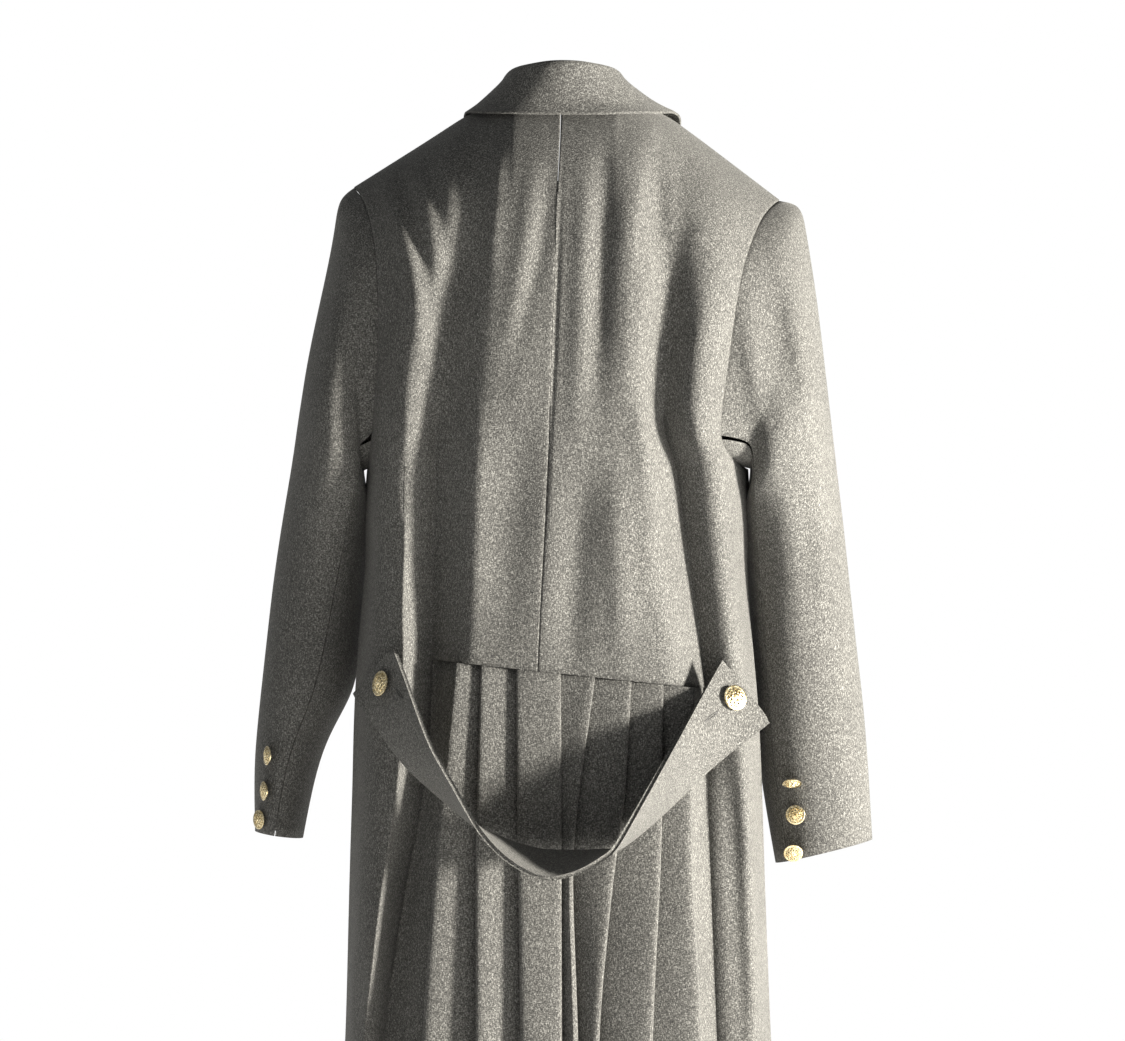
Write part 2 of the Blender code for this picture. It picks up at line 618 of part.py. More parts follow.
def skirt_grid():
    outer, inner = [], []
    heights = low_heights[waist_row - len(turns) - len(edge_heights):]
    for n, level in enumerate(heights):
        row = waist_row + n
        tilt = waist_tilt * low_tilt[row - len(turns) - len(edge_heights)]
        ends = {}
        for side in (-1, 1):
            border = panels["back", side][0][row, recess[side]]
            under = panels["back", side][1][row, recess[side]]
            way = border - panels["back", side][0][row, recess[side] + 1]
            way /= np.linalg.norm(way)
            ends[side] = (border + way * seam, under + way * seam, way)
        marks = {}
        for side in (-1, 1):
            middle = (ends[side][0] + ends[side][1]) / 2
            points = []
            for reach in (0.0, underlap):
                x, y = (middle + ends[side][2] * reach)[:2]
                points.append((x, y + depth_at(x, middle[2], -1)))
            marks[side] = points
        path = pleat_path(level, marks[-1], marks[1][::-1])
        centre_line = []
        for x, deep in path:
            z = level + tilt * x
            centre_line.append((x, deep - depth_at(x, z, -1), z))
        line = np.array(centre_line)
        if n == 0:
            line[:, 2] -= seam
        flat = line[:, :2]
        way = np.diff(flat, axis=0)
        way /= np.linalg.norm(way, axis=1, keepdims=True)
        before, after = np.vstack([way[:1], way]), np.vstack([way, way[-1:]])
        side_way = before + after
        side_way /= np.linalg.norm(side_way, axis=1, keepdims=True)
        stretch = 1 / np.clip((side_way * after).sum(axis=1), 0.75, 1.0)
        normal = np.stack([side_way[:, 1], -side_way[:, 0]], axis=1) * stretch[:, None]
        step = np.zeros_like(line)
        step[:, :2] = normal * cloth / 2
        outer.append(line + step)
        inner.append(line - step)
        for side, place in ((-1, 0), (1, -1)):
            outer[-1][place, :2] = ends[side][0][:2]
            inner[-1][place, :2] = ends[side][1][:2]
    return np.array(outer), np.array(inner)


wall("back_skirt", *skirt_grid(), wool)


def over_body(point, clear):
    """Push a point straight off the shoulders and chest until it is clear of them."""
    x, y, z = point
    out = -1 if y < ridge_depth else 1
    clear += closing_lift if out > 0 and x > 0 else 0.0
    angles = np.linspace(0, math.pi / 2, 80)
    heights = ridge(x) - shoulder_round * (1 - np.cos(angles))
    reach = [ridge_depth * math.cos(a) + out * depth_at(x, h, out) * math.sin(a)
             for a, h in zip(angles, heights)]
    below = heights[-1] - np.linspace(0.002, 0.12, 60)
    line = np.array(list(zip(reach, heights)) + [(out * depth_at(x, h, out), h) for h in below])
    way = np.gradient(line, axis=0)
    way /= np.linalg.norm(way, axis=1, keepdims=True)
    straight = np.stack([-way[:, 1] * out, way[:, 0] * out], axis=1)
    near = int(np.argmin(np.linalg.norm(line - (y, z), axis=1)))
    if float((np.array((y, z)) - line[near]) @ straight[near]) >= clear:
        return point
    moved = line[near] + straight[near] * clear
    return np.array((x, moved[0], moved[1]))


def surface_y(x, z, out):
    low = min((ridge(x) - z) / shoulder_round, 1.0)
    turn = math.acos(1 - max(low, 0.0))
    return ridge_depth * math.cos(turn) + out * depth_at(x, z, out) * math.sin(turn)


def collar_sections():
    """Middle points of the collar's cloth by section, with the wall direction at the neck."""
    sections, walls = [], []
    for side in (-1, 1):
        half_sections, half_walls = [], []
        for n, (edge_x, edge_z, roll) in enumerate(collar_rows):
            kind, column = ("back", n) if n <= neck_steps else ("front", 2 * neck_steps - n + 1)
            outer, inner = panels[kind, side]
            after = outer[0, column + 1] - outer[0, max(column - 1, 0)]
            if n == neck_steps:
                after = panels["front", side][0][0, column] - outer[0, column - 1]
            if column == 0:
                after = np.array((1.0, 0.0, 0.0))
            way = np.cross(after, outer[0, column] - inner[0, column])
            way /= np.linalg.norm(way)
            if way @ (np.array((0.0, 0.01, 0.0)) - outer[0, column]) < 0:
                way = -way
            space = seam * (5 if n in (neck_steps, neck_steps + 1) else 2)
            low = outer[0, column] + way * space
            low_in = inner[0, column] + way * space
            neck = (low + low_in) / 2
            edge_x *= side * collar_spread[side]
            out = -1 if n < neck_steps else 1
            if n == neck_steps:
                edge = np.array((edge_x, 0.012, ridge(edge_x)))
            else:
                edge = np.array((edge_x, surface_y(edge_x, edge_z, out), edge_z))
            edge = edge + np.array((0.0, 0.0, 0.003)) if n in (neck_steps, neck_steps - 1) else edge
            away = edge - neck
            away[2] = 0.0
            away /= np.linalg.norm(away)
            up = np.array((0.0, 0.0, 1.0))
            top = neck + up * (roll - neck[2])
            line = [neck, (neck + top - up * 2 * collar_fall) / 2]
            for across, below in collar_roll:
                line.append(top + away * across * collar_fall - up * below * collar_fall)
            if n > neck_steps:
                line[4:7] = [over_body(point, collar_fall) for point in line[4:7]]
            for t in (0.25, 0.5, 0.75, 1.0):
                point = line[6] * (1 - t) + edge * t
                line.append(over_body(point, collar_clear))
            half_sections.append(line)
            half_walls.append((low, low_in))
        if side < 0:
            half_sections, half_walls = half_sections[::-1], half_walls[::-1]
        else:
            half_sections, half_walls = half_sections[1:], half_walls[1:]
        sections += half_sections
        walls += half_walls
    return np.array(sections), walls


sections, neck_walls = collar_sections()
across = np.gradient(sections, axis=0)
along = np.gradient(sections, axis=1)
collar_normal = np.cross(along, across)
collar_normal /= np.linalg.norm(collar_normal, axis=2, keepdims=True)
if collar_normal[len(sections) // 2, 4, 2] < 0:
    collar_normal = -collar_normal
upper = sections + collar_normal * cloth / 2
lower = sections - collar_normal * cloth / 2
for n, (low, low_in) in enumerate(neck_walls):
    lower[n, 0], upper[n, 0] = low, low_in
wall("collar", upper, lower, wool)


def smooth_rows(rows, steps):
    """More rows along a curve that runs through the table's rows."""
    data = np.array(rows)
    data = np.vstack([2 * data[0] - data[1], data, 2 * data[-1] - data[-2]])
    found = []
    for a, b, c, d in zip(data, data[1:], data[2:], data[3:]):
        for t in np.arange(steps) / steps:
            found.append(0.5 * (2 * b + (c - a) * t + (2 * a - 5 * b + 4 * c - d) * t * t
                                + (3 * b - 3 * c + d - a) * t ** 3))
    return np.array(found + [data[-2]])


belt_line = smooth_rows(belt_rows, 2)
parts = np.linspace(0, 1, 4)[None, :, None]
belt = belt_line[:, None, 3:] * (1 - parts) + belt_line[:, None, :3] * parts
belt_normal = np.cross(np.gradient(belt, axis=0), np.gradient(belt, axis=1))
belt_normal /= np.linalg.norm(belt_normal, axis=2, keepdims=True)
if belt_normal[1, 0, 1] > 0:
    belt_normal = -belt_normal
wall("back_belt", belt + belt_normal * belt_thick / 2, belt - belt_normal * belt_thick / 2, wool)


def button(name, foot, face, radius, root=None, stand=None):
    """A domed button whose shank stands on a point and faces along a direction. A button that
    droops has its shank's root on the cloth, where it stands straight out."""
    sides = 16
    face = Vector(face).normalized()
    aside = face.cross(Vector((0.0, 0.0, 1.0) if abs(face[2]) < 0.8 else (1.0, 0.0, 0.0))).normalized()
    over = face.cross(aside)
    foot = Vector(foot)
    rings = [(foot + face * high * shank, 0.0, reach * radius) for reach, high in button_profile]
    bend = Quaternion()
    if root is not None:
        bend = face.rotation_difference(Vector(stand))
        rings[0] = (foot, 0.5, rings[0][2])
        rings.insert(0, (Vector(root), 1.0, rings[0][2]))
    points, faces = [], []
    for middle, part, size in rings:
        turn = Quaternion().slerp(bend, part)
        for n in range(sides):
            a = 2 * math.pi * n / sides
            aim = turn @ (aside * math.cos(a) + over * math.sin(a))
            points.append(middle + aim * size)
    points.append(foot + face * button_top * shank)
    points.append(rings[0][0])
    top, bottom = len(points) - 2, len(points) - 1
    for n in range(sides):
        m = (n + 1) % sides
        faces.append([bottom, m, n])
        for k in range(len(rings) - 1):
            faces.append([k * sides + n, k * sides + m, (k + 1) * sides + m, (k + 1) * sides + n])
        last = (len(rings) - 1) * sides
        faces.append([last + n, last + m, top])
    add_object(name, points, faces, brass)


def belt_button(name, row):
    spot = belt_line[row, 3:] * (1 - button_across) + belt_line[row, :3] * button_across
    way = belt_normal[row].mean(axis=0)
    button(name, spot + way * (belt_thick / 2 + seam), way, large_button)


belt_button("belt_button_right", 1)
belt_button("belt_button_left", len(belt_line) - 3)


def on_sleeve(side, x, z):
    """Point of a sleeve's back at an X and a height, with the way straight out of the cloth."""
    grid = sleeves[side]
    found, way, near = None, None, 1e9
    for row in range(len(grid) - 1):
        for t in np.linspace(0, 1, 11):
            ring = grid[row] * (1 - t) + grid[row + 1] * t
            for c in range(underarm_row + 2):
                for u in np.linspace(0, 1, 7):
                    point = ring[c] * (1 - u) + ring[c + 1] * u
                    gap = abs(point[0] - x) + abs(point[2] - z)
                    if gap < near:
                        found, near = point, gap
                        way = np.cross(ring[c + 1] - ring[c], grid[row + 1, c] - grid[row, c])
    way /= np.linalg.norm(way)
    if way @ (found - grid[-3].mean(axis=0)) < 0:
        way = -way
    return found, way


for side, name in ((-1, "left"), (1, "right")):
    for n, (x, z, *face) in enumerate(cuff_buttons[side]):
        spot, out = on_sleeve(side, x, z)
        face = np.array(face) / np.linalg.norm(face)
        turned = float(face @ out)
        off = small_button * math.sqrt(max(1 - turned ** 2, 0.0)) + button_clear - shank * turned
        button("cuff_button_%s_%d" % (name, n + 1), spot + out * off, face, small_button,
               spot + out * seam, out)

for n, z in enumerate(front_button_heights):
    spot = (0.0, surface_y(0.0, z, 1) + cloth + 4 * seam, z)
    button("front_button_%d" % (n + 1), spot, (0.0, 1.0, 0.0), large_button)
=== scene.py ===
import math

import bmesh
import bpy
import numpy as np
from mathutils import Matrix, Vector
from mathutils.bvhtree import BVHTree


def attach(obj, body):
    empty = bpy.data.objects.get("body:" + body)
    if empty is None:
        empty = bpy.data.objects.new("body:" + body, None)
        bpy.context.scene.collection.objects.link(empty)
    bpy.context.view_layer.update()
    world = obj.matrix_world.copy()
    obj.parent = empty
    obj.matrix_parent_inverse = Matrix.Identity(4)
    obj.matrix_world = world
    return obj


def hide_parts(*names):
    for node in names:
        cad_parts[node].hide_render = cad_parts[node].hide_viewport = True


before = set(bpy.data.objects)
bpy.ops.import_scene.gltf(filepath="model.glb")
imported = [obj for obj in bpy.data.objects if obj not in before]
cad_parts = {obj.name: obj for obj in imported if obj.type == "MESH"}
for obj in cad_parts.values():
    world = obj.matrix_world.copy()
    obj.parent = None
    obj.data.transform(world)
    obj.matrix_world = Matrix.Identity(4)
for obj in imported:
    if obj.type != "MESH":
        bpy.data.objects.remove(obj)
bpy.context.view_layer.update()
print("frame loaded:", len(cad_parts), "solids")


view = {
    "middle": (-0.0024, -0.06, -0.409),  # what the lens points at
    "distance": 7.0,
    "frameWidth": 1.069,  # metres across the picture at the coat's back
    "sensor": 36,
    "farthest": 200,
    "keyAim": (68, -1),  # degrees to the right of the lens and above it
    "keyDistance": 3.4,
    "keySize": 0.55,
    "keyPower": 610,
    "keyColour": (1.0, 0.975, 0.93),
    "skyColour": (0.93, 0.96, 1.0),
    "skyStrength": 0.30,
    "floorHeight": -1.55,
    "floorSize": 15,
}


def makeCamera(place):
    camera = bpy.data.objects.new("camera", bpy.data.cameras.new("camera"))
    bpy.context.scene.collection.objects.link(camera)
    camera.location = Vector(place["middle"]) - Vector((0, place["distance"], 0))
    camera.rotation_euler = (math.radians(90), 0, 0)
    camera.data.sensor_width = place["sensor"]
    camera.data.lens = place["sensor"] * place["distance"] / place["frameWidth"]
    camera.data.clip_end = place["farthest"]
    bpy.context.scene.camera = camera


def makeKey(place):
    across, up = (math.radians(a) for a in place["keyAim"])
    way = Vector((math.sin(across) * math.cos(up), -math.cos(across) * math.cos(up), math.sin(up)))
    key = bpy.data.objects.new("keyLight", bpy.data.lights.new("keyLight", "AREA"))
    bpy.context.scene.collection.objects.link(key)
    key.data.shape = "DISK"
    key.data.size = place["keySize"]
    key.data.energy = place["keyPower"]
    key.data.color = place["keyColour"]
    key.location = Vector(place["middle"]) + way * place["keyDistance"]
    key.rotation_euler = (-way).to_track_quat("-Z", "Y").to_euler()
    key.visible_camera = False


def makeWorld(place):
    world = bpy.data.worlds.new("studio")
    bpy.context.scene.world = world
    world.use_nodes = True
    nodes, links = world.node_tree.nodes, world.node_tree.links
    sky = nodes["Background"]  # lights the coat softly; the backdrop itself is white
    sky.inputs["Color"].default_value = (*place["skyColour"], 1)
    sky.inputs["Strength"].default_value = place["skyStrength"]
    backdrop = nodes.new("ShaderNodeBackground")
    backdrop.inputs["Color"].default_value = (1, 1, 1, 1)
    rays = nodes.new("ShaderNodeLightPath")
    mix = nodes.new("ShaderNodeMixShader")
    links.new(rays.outputs["Is Camera Ray"], mix.inputs["Fac"])
    links.new(sky.outputs[0], mix.inputs[1])
    links.new(backdrop.outputs[0], mix.inputs[2])
    links.new(mix.outputs[0], nodes["World Output"].inputs["Surface"])
    bpy.context.scene.view_settings.view_transform = "Standard"


makeCamera(view)
makeKey(view)
makeWorld(view)


class Link:
    # a node's output, with +, - and * that add their Math nodes
    def __init__(self, bench, socket):
        self.bench, self.socket = bench, socket

    def maths(self, kind, first, second):
        return self.bench.node("ShaderNodeMath", {"operation": kind}, {0: first, 1: second})

    def __add__(self, other):
        return self.maths("ADD", self, other)

    def __radd__(self, other):
        return self.maths("ADD", other, self)

    def __sub__(self, other):
        return self.maths("SUBTRACT", self, other)

    def __rsub__(self, other):
        return self.maths("SUBTRACT", other, self)

    def __mul__(self, other):
        return self.maths("MULTIPLY", self, other)

    def __rmul__(self, other):
        return self.maths("MULTIPLY", other, self)


class Bench:
    # one material and its nodes
    def __init__(self, name):
        self.material = bpy.data.materials.new(name)
        self.material.use_nodes = True
        self.tree = self.material.node_tree
        self.shader = self.tree.nodes["Principled BSDF"]

    def fill(self, socket, value):
        if isinstance(value, Link):
            self.tree.links.new(value.socket, socket)
        else:
            socket.default_value = value

    def node(self, kind, settings, inputs, output=0):
        made = self.tree.nodes.new(kind)
        for key, value in settings.items():
            if key == "stops":
                while len(made.color_ramp.elements) < len(value):
                    made.color_ramp.elements.new(0.5)
                for stop, (at, colour) in zip(made.color_ramp.elements, value):
                    stop.position = at
                    stop.color = (*colour, 1)
            else:
                setattr(made, key, value)
        for key, value in inputs.items():
            self.fill(made.inputs[key], value)
        return Link(self, made.outputs[output])

    def finish(self, inputs):
        for key, value in inputs.items():
            self.fill(self.shader.inputs[key], value)
        return self.material

    def place(self):
        return self.node("ShaderNodeTexCoord", {}, {}, "Object")

    def noise(self, place, scale, detail=2.0, rough=0.5):
        return self.node("ShaderNodeTexNoise", {}, {"Vector": place, "Scale": scale, "Detail": detail,
                                                    "Roughness": rough})

    def ramp(self, stops, value):
        return self.node("ShaderNodeValToRGB", {"stops": stops}, {"Fac": value})

    def bump(self, strength, distance, height):
        return self.node("ShaderNodeBump", {}, {"Strength": strength, "Distance": distance, "Height": height})


woolLook = {
    "tones": ((0.36, (0.016, 0.016, 0.0155)), (0.50, (0.068, 0.065, 0.058)), (0.64, (0.27, 0.262, 0.235))),
    "yarn": 1250,  # yarns to a metre
    "weft": 1.15,  # how much closer the weft lies than the warp
    "stretch": 0.30,  # how much slower the tone changes along a yarn
    "yarnShare": 0.36,  # of warp and of weft in the tone
    "fleckSize": 0.55,
    "fleckShare": 0.28,
    "clouds": 9.0,  # soft patches to a metre
    "cloudDepth": 0.05,
    "roughness": 0.88,
    "roughChange": 0.25,
    "bump": 0.75,
    "nap": 0.0011,
    "sheen": 0.14,
    "sheenRoughness": 0.35,
    "sheenTint": (0.95, 0.92, 0.85, 1),
    "specular": 0.22,
}


def makeWool(name, look):
    bench = Bench(name)
    place = bench.place()
    upright = bench.node("ShaderNodeMapping", {}, {"Vector": place, "Scale": (1, 1, look["stretch"])})
    level = bench.node("ShaderNodeMapping", {}, {"Vector": place, "Scale": (look["stretch"], 1, 1)})
    warp = bench.noise(upright, look["yarn"], 2.0, 0.6)
    weft = bench.noise(level, look["yarn"] * look["weft"], 2.0, 0.6)
    fleck = bench.noise(place, look["yarn"] * look["fleckSize"], 3.0, 0.7)
    mix = warp * look["yarnShare"] + weft * look["yarnShare"] + fleck * look["fleckShare"]
    cloud = bench.noise(place, look["clouds"], 3.0, 0.55)
    return bench.finish({
        "Base Color": bench.ramp(look["tones"], mix + (cloud - 0.5) * look["cloudDepth"]),
        "Roughness": (mix - 0.5) * look["roughChange"] + look["roughness"],
        "Normal": bench.bump(look["bump"], look["nap"], mix),
        "Sheen Weight": look["sheen"],
        "Sheen Roughness": look["sheenRoughness"],
        "Sheen Tint": look["sheenTint"],
        "Specular IOR Level": look["specular"],
    })


brassLook = {
    "tones": ((0.38, (0.62, 0.47, 0.22)), (0.58, (0.93, 0.80, 0.52))),
    "wear": 420.0,  # worn spots to a metre
    "roughness": 0.26,
    "roughChange": 0.3,
    "grain": 2600.0,
    "bump": 0.25,
    "grainDeep": 0.0002,
}


def makeBrass(name, look):
    bench = Bench(name)
    place = bench.place()
    wear = bench.noise(place, look["wear"], 4.0, 0.6)
    return bench.finish({
        "Base Color": bench.ramp(look["tones"], wear),
        "Roughness": look["roughness"] + (wear - 0.5) * look["roughChange"],
        "Normal": bench.bump(look["bump"], look["grainDeep"], bench.noise(place, look["grain"])),
        "Metallic": 1.0,
    })


# painted shade: a dark brass for the button's ground under the lattice, standing in for the shadow that falls
# in its hollows
recessLook = {
    "tones": ((0.35, (0.035, 0.045, 0.030)), (0.75, (0.16, 0.13, 0.06))),
    "shadeMottle": 900.0,  # mottled spots in the painted shade, to a metre
    "roughness": 0.5,
    "roughChange": 0.3,
    "metallic": 0.6,
}


def makeRecess(name, look):
    bench = Bench(name)
    shadeMottle = bench.noise(bench.place(), look["shadeMottle"], 3.0, 0.6)
    return bench.finish({
        "Base Color": bench.ramp(look["tones"], shadeMottle),
        "Roughness": look["roughness"] + shadeMottle * look["roughChange"],
        "Metallic": look["metallic"],
    })


threadLook = {
    "tones": ((0.3, (0.012, 0.012, 0.011)), (0.7, (0.06, 0.056, 0.048))),
    "twist": 2400.0,  # strands to a metre
    "roughness": 0.6,
    "roughChange": 0.2,
    "bump": 0.6,
    "strandDeep": 0.0003,
}


def makeThread(name, look):
    bench = Bench(name)
    twist = bench.noise(bench.place(), look["twist"])
    return bench.finish({
        "Base Color": bench.ramp(look["tones"], twist),
        "Roughness": look["roughness"] + twist * look["roughChange"],
        "Normal": bench.bump(look["bump"], look["strandDeep"], twist),
    })


floorLook = {
    "tones": ((0.3, (0.88, 0.885, 0.89)), (0.7, (0.92, 0.925, 0.93))),
    "patches": 0.7,  # to a metre
    "roughness": 0.9,
    "roughChange": 0.05,
    "glow": 0.45,
}


def makeFloorLook(name, look):
    bench = Bench(name)
    soft = bench.noise(bench.place(), look["patches"])
    return bench.finish({
        "Base Color": bench.ramp(look["tones"], soft),
        "Roughness": look["roughness"] + soft * look["roughChange"],
        "Emission Color": (1, 1, 1, 1),
        "Emission Strength": look["glow"],
    })


wool = makeWool("heatheredWool", woolLook)
brass = makeBrass("paleBrass", brassLook)
# the dark ground brass is painted shade for the hollows under the buttons' lattice
recess = makeRecess("paintedShadeGround", recessLook)
thread = makeThread("darkThread", threadLook)
paleFloor = makeFloorLook("paleFloor", floorLook)
print("materials made")


def makeFloor(place):
    bpy.ops.mesh.primitive_plane_add(size=place["floorSize"], location=(0, 0, place["floorHeight"]))
    floor = bpy.context.object
    floor.name = "floor"
    bpy.ops.object.transform_apply(location=True, rotation=True, scale=True)
    floor.data.materials.append(paleFloor)


bpy.ops.object.select_all(action="DESELECT")
makeFloor(view)
print("floor made")


def selectOnly(*things):
    # the first of them becomes the active one
    bpy.ops.object.select_all(action="DESELECT")
    for thing in things:
        thing.select_set(True)
    bpy.context.view_layer.objects.active = things[0]


def readPoints(thing):
    points = np.empty(len(thing.data.vertices) * 3)
    thing.data.vertices.foreach_get("co", points)
    return points.reshape(-1, 3)


def writePoints(thing, points):
    thing.data.vertices.foreach_set("co", points.ravel())
    thing.data.update()


cloth = {
    "merge": 2e-5,
    "sharp": math.radians(72),  # edges over this stay crisp
    "smooth": math.radians(50),
    "rise": 0.35,  # share of a fold's length over which it rises
    "fall": 0.40,  # and over which it runs out again
    "backStart": 0.012,  # folds begin this far behind the shoulder line
    "backFull": 0.04,  # and have their full height this much farther back
}


def clothFrom(name, node, levels, prepare=None):
    # the solid's panel as a smooth fine mesh; its cut edges stay crisp
    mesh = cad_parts[node].data.copy()
    mesh.materials.clear()
    mesh.materials.append(wool)
    thing = bpy.data.objects.new(name, mesh)
    bpy.context.scene.collection.objects.link(thing)
    shape = bmesh.new()
    shape.from_mesh(mesh)
    bmesh.ops.remove_doubles(shape, verts=shape.verts, dist=cloth["merge"])
    bmesh.ops.join_triangles(shape, faces=shape.faces, angle_face_threshold=math.pi,
                             angle_shape_threshold=math.pi)
    if prepare:
        prepare(shape, beltEdge)
    crease = shape.edges.layers.float.get("crease_edge") or shape.edges.layers.float.new("crease_edge")
    for edge in shape.edges:
        edge[crease] = 1.0 if edge.calc_face_angle(0) > cloth["sharp"] else 0.0
    shape.to_mesh(mesh)
    shape.free()
    smooth = thing.modifiers.new("smooth", "SUBSURF")
    smooth.levels = smooth.render_levels = levels
    selectOnly(thing)
    bpy.ops.object.modifier_apply(modifier=smooth.name)
    return thing


def ease(t):
    t = np.clip(t, 0.0, 1.0)
    return t * t * (3 - 2 * t)


def nearLine(x, z, line):
    # distance of each point from a line of points, and how far along the line it lies
    line = np.array(line, float) / 1000
    lengths = np.linalg.norm(np.diff(line, axis=0), axis=1)
    marks = np.concatenate([[0], np.cumsum(lengths)]) / lengths.sum()
    best = np.full(len(x), 1e9)
    along = np.zeros(len(x))
    for a, b, m, n in zip(line, line[1:], marks, marks[1:]):
        step = b - a
        t = np.clip(((x - a[0]) * step[0] + (z - a[1]) * step[1]) / (step @ step), 0, 1)
        gap = np.hypot(x - a[0] - step[0] * t, z - a[1] - step[1] * t)
        nearer = gap < best
        best = np.where(nearer, gap, best)
        along = np.where(nearer, m + (n - m) * t, along)
    return best, along


def bendCloth(thing, folds, look):
    # folds: height (mm, out of the back), half width (mm), line of (x, z) in mm
    points = readPoints(thing)
    lift = np.zeros(len(points))
    for height, wide, line in folds:
        gap, along = nearLine(points[:, 0], points[:, 2], line)
        ends = ease(along / look["rise"]) * ease((1 - along) / look["fall"])
        lift += height / 1000 * np.exp(-(gap / (wide / 1000)) ** 2) * ends
    points[:, 1] -= lift * ease((-points[:, 1] - look["backStart"]) / look["backFull"])
    writePoints(thing, points)


underarm = {
    "height": -0.385,  # where body and sleeve come closest
    "reach": 0.055,  # half height of the filled stretch
    "body": 0.0046,  # how far the body's side moves out
    "bodyFrom": 0.150,  # distance from the middle where that starts
    "bodyOver": 0.020,
    "sleeve": 0.0034,  # how far the sleeve moves in
    "sleeveFrom": 0.205,
    "sleeveOver": 0.025,
}


def closeUnderarm(thing, look):
    # the cloth fills out under the arm, so that no light comes through between body and sleeve
    points = readPoints(thing)
    near = np.exp(-((points[:, 2] - look["height"]) / look["reach"]) ** 2)
    wide = np.abs(points[:, 0])
    if "Sleeve" in thing.name:
        shift = -look["sleeve"] * ease((look["sleeveFrom"] - wide) / look["sleeveOver"])
    else:
        shift = look["body"] * ease((wide - look["bodyFrom"]) / look["bodyOver"])
    points[:, 0] += np.sign(points[:, 0]) * shift * near
    writePoints(thing, points)


def finishCloth(thing, node):
    selectOnly(thing)
    bpy.ops.object.shade_smooth_by_angle(angle=cloth["smooth"])
    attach(thing, "root")
    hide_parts(node)


panels = {
    # piece: solid, levels, flat size (m), area (m2), folds
    "backLeft": {
        "node": "back_left", "levels": 3, "flat": (0.26, 1.25), "area": 0.21,
        "folds": [
            (5.1, 11, [(-176, -60), (-165, -110), (-150, -160), (-138, -220), (-130, -290)]),
            (-5.4, 8, [(-166, -52), (-150, -105), (-134, -160), (-122, -225)]),
            (-3.8, 8, [(-138, -34), (-126, -80), (-117, -130), (-112, -175)]),
            (3.5, 12, [(-24, -40), (-34, -130), (-46, -218), (-56, -330)]),
            (-3.5, 10, [(-12, -50), (-24, -150), (-44, -230), (-64, -330)]),
            (2.9, 7, [(-62, -36), (-66, -110), (-72, -190)]),
            (-4.2, 20, [(-150, -300), (-152, -400), (-150, -520)]),
            (4.8, 14, [(-182, -420), (-180, -560), (-184, -760), (-190, -1000)]),
            (6.4, 12, [(-176, -700), (-180, -860), (-184, -1020), (-188, -1190)]),
            (-6.4, 12, [(-152, -640), (-154, -800), (-158, -1000), (-162, -1190)]),
            (-4.8, 22, [(-40, -280), (-46, -360), (-56, -460), (-62, -570)]),
            (3.5, 14, [(-84, -300), (-88, -400), (-92, -520)]),
            (-1.4, 2.2, [(-3, 0), (-4, -100), (-9.5, -250), (-22, -480), (-27, -575)]),
        ],
    },
    "backRight": {
        "node": "back_right", "levels": 3, "flat": (0.26, 1.25), "area": 0.21,
        "folds": [
            (3.8, 12, [(20, -30), (18, -130), (14, -240), (8, -370)]),
            (-3.8, 9, [(38, -25), (36, -110), (32, -210), (26, -320)]),
            (4.2, 13, [(60, -30), (58, -130), (54, -240), (46, -370)]),
            (-3.2, 10, [(80, -30), (80, -110), (76, -210)]),
            (3.2, 9, [(96, -34), (98, -90), (98, -160)]),
            (4.8, 15, [(52, -330), (50, -420), (54, -520), (62, -580)]),
            (-5.1, 15, [(20, -330), (12, -420), (6, -520), (8, -590)]),
            (-4.8, 12, [(88, -300), (92, -400), (98, -520)]),
            (-8.0, 12, [(150, -560), (160, -700), (168, -860), (176, -1040)]),
            (4.8, 9, [(172, -600), (182, -760), (190, -960)]),
            (-1.4, 2.2, [(1, 0), (-4, -100), (-9.5, -250), (-22, -480), (-27, -575)]),
        ],
    },
    "backSkirt": {"node": "back_skirt", "levels": 2, "flat": (0.80, 0.66), "area": 0.47, "folds": []},
    "frontLeft": {"node": "front_left", "levels": 2, "flat": (0.33, 1.25), "area": 0.325, "folds": []},
    "frontRight": {"node": "front_right", "levels": 2, "flat": (0.33, 1.25), "area": 0.31, "folds": []},
    "topSleeveLeft": {
        "node": "topsleeve_left", "levels": 3, "flat": (0.27, 0.66), "area": 0.123,
        "folds": [
            (2.6, 13, [(-216, -150), (-220, -250), (-232, -360), (-246, -470)]),
            (-2.4, 11, [(-200, -200), (-204, -300), (-214, -400)]),
            (-3.0, 13, [(-262, -400), (-262, -470), (-266, -540), (-274, -600)]),
        ],
    },
    "underSleeveLeft": {
        "node": "undersleeve_left", "levels": 3, "flat": (0.16, 0.50), "area": 0.06,
        "folds": [
            (-3.0, 11, [(-206, -400), (-216, -470), (-228, -560)]),
        ],
    },
    "topSleeveRight": {
        "node": "topsleeve_right", "levels": 3, "flat": (0.29, 0.66), "area": 0.145,
        "folds": [
            (-6.5, 15, [(190, -150), (200, -212), (212, -266), (226, -340)]),
            (5.0, 11, [(166, -185), (176, -250), (186, -310), (198, -390)]),
            (2.6, 11, [(240, -300), (250, -420), (262, -560), (270, -690)]),
            (-2.4, 10, [(226, -380), (236, -480), (246, -600)]),
        ],
    },
    "underSleeveRight": {
        "node": "undersleeve_right", "levels": 3, "flat": (0.16, 0.50), "area": 0.055,
        "folds": [
            (2.2, 10, [(200, -420), (208, -540), (216, -680)]),
        ],
    },
    "collarFall": {"node": "collar", "levels": 3, "flat": (0.50, 0.12), "area": 0.046, "folds": []},
    "halfBelt": {"node": "back_belt", "levels": 3, "flat": (0.60, 0.075), "area": 0.04, "folds": []},
}
beltEdge = {
    "widest": 0.006,  # faces of the edge have a side shorter than this
    "inset": 0.0014,
    "deep": -0.0013,
}


def splitEdge(shape, look):
    # a groove round the belt's narrow edge, between its two layers
    rim = [face for face in shape.faces
           if min(edge.calc_length() for edge in face.edges) < look["widest"]]
    bmesh.ops.inset_region(shape, faces=rim, thickness=look["inset"], depth=look["deep"],
                           use_even_offset=True)


